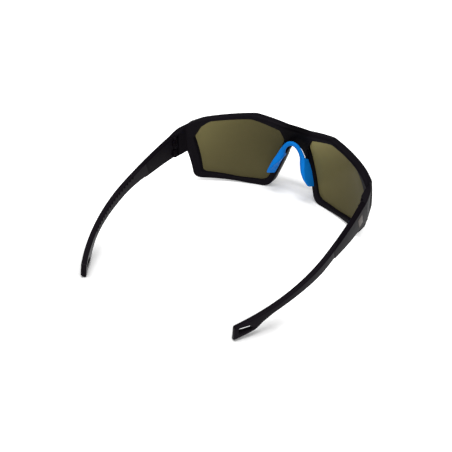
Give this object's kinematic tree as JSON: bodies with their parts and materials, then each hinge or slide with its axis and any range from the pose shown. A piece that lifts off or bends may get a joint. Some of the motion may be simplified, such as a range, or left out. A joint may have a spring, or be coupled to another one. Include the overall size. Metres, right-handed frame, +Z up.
{
  "type": "glacier glasses",
  "caption": "Wrap-around glacier glasses with dark lenses in a full-rim front, a soft nose saddle and folding temples with slotted tips.",
  "frame": {"origin": "on the table, under the middle of the part's box, with the temples open", "axes": "+X to the wearer's left, -Y forwards through the lenses, +Z up"},
  "size_m": [0.1516, 0.162, 0.0514],
  "materials": {
    "frame": "satin moulded nylon",
    "lens": "tinted, polished",
    "nose_rubber": "soft matte",
    "tip_rubber": "soft matte",
    "badge": "satin taupe",
    "steel": "brushed"
  },
  "bodies": {
    "front": {"frame_front": "frame", "lens_left": "lens", "lens_right": "lens", "nose_piece": "nose_rubber", "nose_wire": "steel", "hinge_screw_left": "steel", "hinge_screw_right": "steel"},
    "temple_left": {"temple_arm_left": "frame", "temple_tip_left": "tip_rubber", "temple_core_left": "steel", "temple_badge_left": "badge"},
    "temple_right": {"temple_arm_right": "frame", "temple_tip_right": "tip_rubber", "temple_core_right": "steel", "temple_badge_right": "badge"}
  },
  "joints": [
    {"name": "left_temple_fold", "type": "hinge", "parent": "front", "child": "temple_left", "pos_m": [0.07061, -0.03708, 0.0295], "axis": [0, 0, 1], "range_deg": [0, 90]},
    {"name": "right_temple_fold", "type": "hinge", "parent": "front", "child": "temple_right", "pos_m": [-0.07061, -0.03708, 0.0295], "axis": [0, 0, -1], "range_deg": [0, 84]}
  ]
}
